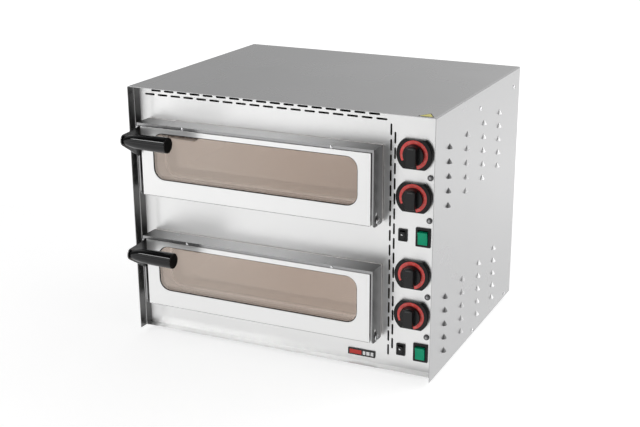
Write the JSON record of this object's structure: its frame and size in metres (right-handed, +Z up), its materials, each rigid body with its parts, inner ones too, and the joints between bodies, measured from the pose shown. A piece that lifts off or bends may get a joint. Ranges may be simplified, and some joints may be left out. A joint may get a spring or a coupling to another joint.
{
  "type": "countertop pizza oven",
  "caption": "Countertop electric pizza oven: stainless casing with stacked baking chambers behind drop-down glass doors, and a column of thermostat knobs and rocker switches on the right.",
  "frame": {"origin": "centre of the whole oven's footprint box, at the level of the feet's undersides", "axes": "+X to the oven's right as its user sees it, towards the controls; +Y to the back; +Z up. The doors face -Y."},
  "size_m": [0.5544, 0.5242, 0.4465],
  "materials": {
    "casing_steel": "satin brushed stainless sheet",
    "panel_steel": "bright satin stainless sheet",
    "door_steel": "bright, nearly polished stainless sheet",
    "screw_steel": "polished",
    "chamber_steel": "matt, slightly heat-tinted",
    "element_steel": "matt, oxidised",
    "galvanised_sheet": "matt zinc",
    "black_plastic": "semi-matt black",
    "knob_plastic": "semi-gloss black",
    "grip_plastic": "high-gloss black",
    "badge_plate": "gloss black, blank",
    "green_lens": "translucent green",
    "grey_lens": "ribbed, unlit",
    "smoked_glass": "bronze heat-resistant glass",
    "lamp_glass": "frosted",
    "pale_plastic": "matt off-white",
    "fireclay": "rough fired clay",
    "mineral_wool": "matted fibres",
    "rubber": "matt black"
  },
  "bodies": {
    "oven": {"outer_casing": "casing_steel", "front_panel": "panel_steel", "rear_panel": "galvanised_sheet", "base_pan": "galvanised_sheet", "compartment_divider": "galvanised_sheet", "foot_front_left": "rubber", "foot_front_right": "rubber", "foot_rear_left": "rubber", "foot_rear_right": "rubber", "cable_gland": "black_plastic", "terminal_block": "pale_plastic", "badge": "badge_plate", "upper_hinge_pin_left": "screw_steel", "upper_hinge_pin_right": "screw_steel", "upper_chamber": "chamber_steel", "upper_insulation": "mineral_wool", "upper_baking_stone": "fireclay", "upper_top_heating_element": "element_steel", "upper_bottom_heating_element": "element_steel", "upper_chamber_lamp": "lamp_glass", "upper_top_heat_bezel": "black_plastic", "upper_top_heat_thermostat": "galvanised_sheet", "upper_top_heat_pilot_lamp": "grey_lens", "upper_bottom_heat_bezel": "black_plastic", "upper_bottom_heat_thermostat": "galvanised_sheet", "upper_bottom_heat_pilot_lamp": "grey_lens", "upper_power_switch_housing": "black_plastic", "upper_light_switch_housing": "black_plastic", "lower_hinge_pin_left": "screw_steel", "lower_hinge_pin_right": "screw_steel", "lower_chamber": "chamber_steel", "lower_insulation": "mineral_wool", "lower_baking_stone": "fireclay", "lower_top_heating_element": "element_steel", "lower_bottom_heating_element": "element_steel", "lower_chamber_lamp": "lamp_glass", "lower_top_heat_bezel": "black_plastic", "lower_top_heat_thermostat": "galvanised_sheet", "lower_top_heat_pilot_lamp": "grey_lens", "lower_bottom_heat_bezel": "black_plastic", "lower_bottom_heat_thermostat": "galvanised_sheet", "lower_bottom_heat_pilot_lamp": "grey_lens", "lower_power_switch_housing": "black_plastic", "lower_light_switch_housing": "black_plastic"},
    "upper_door": {"upper_door_frame": "door_steel", "upper_door_front_plate": "panel_steel", "upper_door_glass": "smoked_glass", "upper_handle_grip": "grip_plastic"},
    "lower_door": {"lower_door_frame": "door_steel", "lower_door_front_plate": "panel_steel", "lower_door_glass": "smoked_glass", "lower_handle_grip": "grip_plastic"},
    "upper_top_heat_knob": {"upper_top_heat_knob": "knob_plastic"},
    "upper_bottom_heat_knob": {"upper_bottom_heat_knob": "knob_plastic"},
    "lower_top_heat_knob": {"lower_top_heat_knob": "knob_plastic"},
    "lower_bottom_heat_knob": {"lower_bottom_heat_knob": "knob_plastic"},
    "upper_power_rocker": {"upper_power_rocker": "green_lens"},
    "upper_light_rocker": {"upper_light_rocker": "knob_plastic"},
    "lower_power_rocker": {"lower_power_rocker": "green_lens"},
    "lower_light_rocker": {"lower_light_rocker": "knob_plastic"}
  },
  "joints": [
    {"name": "upper_door_hinge", "type": "hinge", "parent": "oven", "child": "upper_door", "pos_m": [-0.04075, -0.19245, 0.268], "axis": [1, 0, 0], "range_deg": [0, 80]},
    {"name": "lower_door_hinge", "type": "hinge", "parent": "oven", "child": "lower_door", "pos_m": [-0.04075, -0.19245, 0.068], "axis": [1, 0, 0], "range_deg": [0, 80]},
    {"name": "upper_top_heat_turn", "type": "hinge", "parent": "oven", "child": "upper_top_heat_knob", "pos_m": [0.22825, -0.18045, 0.3783], "axis": [0, 1, 0], "range_deg": [-120, 170]},
    {"name": "upper_bottom_heat_turn", "type": "hinge", "parent": "oven", "child": "upper_bottom_heat_knob", "pos_m": [0.22825, -0.18045, 0.308], "axis": [0, 1, 0], "range_deg": [-120, 170]},
    {"name": "lower_top_heat_turn", "type": "hinge", "parent": "oven", "child": "lower_top_heat_knob", "pos_m": [0.22825, -0.18045, 0.1783], "axis": [0, 1, 0], "range_deg": [-120, 170]},
    {"name": "lower_bottom_heat_turn", "type": "hinge", "parent": "oven", "child": "lower_bottom_heat_knob", "pos_m": [0.22825, -0.18045, 0.108], "axis": [0, 1, 0], "range_deg": [-120, 170]},
    {"name": "upper_power_press", "type": "hinge", "parent": "oven", "child": "upper_power_rocker", "pos_m": [0.24445, -0.16475, 0.243], "axis": [-1, 0, 0], "range_deg": [0, 14]},
    {"name": "upper_light_press", "type": "hinge", "parent": "oven", "child": "upper_light_rocker", "pos_m": [0.20975, -0.16555, 0.2426], "axis": [-1, 0, 0], "range_deg": [0, 14]},
    {"name": "lower_power_press", "type": "hinge", "parent": "oven", "child": "lower_power_rocker", "pos_m": [0.24445, -0.16475, 0.043], "axis": [-1, 0, 0], "range_deg": [0, 14]},
    {"name": "lower_light_press", "type": "hinge", "parent": "oven", "child": "lower_light_rocker", "pos_m": [0.20975, -0.16555, 0.0426], "axis": [-1, 0, 0], "range_deg": [0, 14]}
  ]
}
